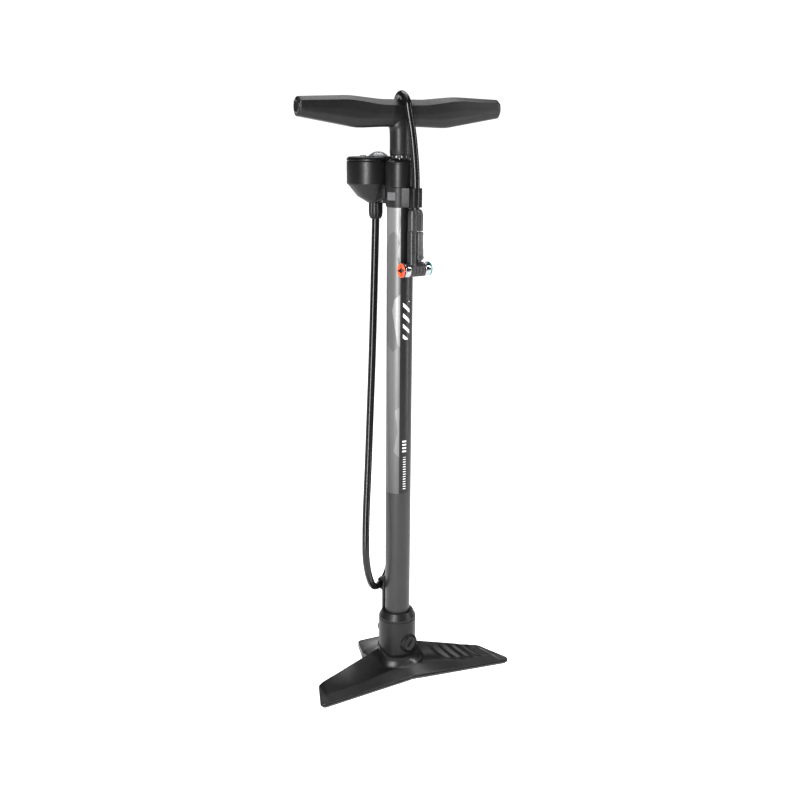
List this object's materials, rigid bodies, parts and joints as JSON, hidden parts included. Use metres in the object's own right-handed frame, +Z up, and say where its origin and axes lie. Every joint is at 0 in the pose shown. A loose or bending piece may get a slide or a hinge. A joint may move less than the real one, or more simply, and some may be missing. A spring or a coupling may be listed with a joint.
{
  "type": "floor bike pump",
  "caption": "Upright floor pump with a T-handle, slim barrel, two-wing foot, domed digital gauge on the head and a stored hose with a twin-port chuck.",
  "frame": {"origin": "on the barrel's axis, at the floor that the rubber sole stands on", "axes": "+Z up along the barrel, +X along the handle and the foot's wings, user at -Y, single rear leg of the foot at +Y"},
  "size_m": [0.253, 0.1246, 0.6866],
  "materials": {
    "foot_plastic": "moulded, satin",
    "head_plastic": "moulded, satin",
    "dark_plastic": "moulded, fine texture",
    "handle_plastic": "moulded, fine texture",
    "cap_plastic": "gloss",
    "lever_plastic": "satin",
    "grey_plastic": "satin",
    "inner_plastic": "self-lubricating",
    "sole_rubber": "matt",
    "seal_rubber": "matt",
    "hose_rubber": "smooth, slightly glossy",
    "barrel_paint": "satin paint with a printed camouflage panel",
    "liner_metal": "drawn",
    "rod_steel": "polished",
    "screw_steel": "zinc plated",
    "black_steel": "blackened",
    "chrome_rings": "polished",
    "brass_parts": "machined",
    "presta_red": "anodised orange-red",
    "schrader_green": "anodised green",
    "lens_clear": "clear dome",
    "display": "reflective display",
    "board": "solder mask"
  },
  "bodies": {
    "barrel": {"rubber_sole": "sole_rubber", "base_foot": "foot_plastic", "base_socket": "head_plastic", "base_screws": "screw_steel", "service_plug": "grey_plastic", "plug_seal": "seal_rubber", "valve_seat": "brass_parts", "valve_spring": "rod_steel", "hose_hook": "dark_plastic", "hook_screw": "black_steel", "barrel_tube": "barrel_paint", "cylinder_liner": "liner_metal", "top_collar": "head_plastic", "collar_seals": "seal_rubber", "badge_plate": "grey_plastic", "hose_clip": "dark_plastic", "head_cap": "head_plastic", "rod_bush": "inner_plastic", "rod_seal": "seal_rubber", "gauge_housing": "dark_plastic", "gauge_bezel": "dark_plastic", "gauge_lens": "lens_clear", "display_panel": "display", "circuit_board": "board", "gauge_screws": "screw_steel", "coin_cell": "screw_steel", "pressure_sensor": "screw_steel", "button_switch": "dark_plastic", "outlet_nut": "dark_plastic", "hose": "hose_rubber", "chuck_sleeve": "head_plastic", "chuck_body": "head_plastic", "presta_ring": "chrome_rings", "presta_cap": "presta_red", "presta_seal": "seal_rubber", "schrader_ring": "chrome_rings", "schrader_cap": "schrader_green", "schrader_seal": "seal_rubber", "lever_pin": "rod_steel"},
    "valve_ball": {"valve_ball": "rod_steel"},
    "gauge_button": {"gauge_button": "grey_plastic"},
    "chuck_lever": {"chuck_lever": "lever_plastic"},
    "chuck_plunger": {"chuck_plunger": "inner_plastic"},
    "piston": {"piston": "inner_plastic", "piston_seal": "seal_rubber", "rebound_bumper": "seal_rubber"},
    "handle": {"piston_rod": "rod_steel", "piston_nut": "screw_steel", "rod_bumper": "seal_rubber", "handle_insert": "brass_parts", "handle_grip": "handle_plastic", "handle_end_caps": "cap_plastic"}
  },
  "joints": [
    {"name": "handle_slide", "type": "slide", "parent": "barrel", "child": "piston", "axis": [0, 0, 1], "range_m": [0, 0.5], "deforming": ["hose"]},
    {"name": "handle_turn", "type": "hinge", "parent": "piston", "child": "handle", "pos_m": [0, 0, 0.3], "axis": [0, 0, 1], "continuous": true},
    {"name": "valve_lift", "type": "slide", "parent": "barrel", "child": "valve_ball", "axis": [0, 0, -1], "range_m": [0, 0.0015], "stiffness_N_per_m": 40, "springref_m": -0.003, "deforming": ["valve_spring"]},
    {"name": "button_press", "type": "slide", "parent": "barrel", "child": "gauge_button", "axis": [0, 0, -1], "range_m": [0, 0.001], "stiffness_N_per_m": 400, "springref_m": -0.001},
    {"name": "lever_flip", "type": "hinge", "parent": "barrel", "child": "chuck_lever", "pos_m": [0.01176, -0.02321, 0.5075], "axis": [-0.1219, 0.9925, 0], "range_deg": [0, 90]},
    {"name": "plunger_slide", "type": "slide", "parent": "barrel", "child": "chuck_plunger", "axis": [-0.9925, -0.1219, 0], "range_m": [0, 0.0022]}
  ],
  "couplings": [
    {"joint": "plunger_slide", "follows": "lever_flip", "m_per_rad": 0.0014}
  ]
}
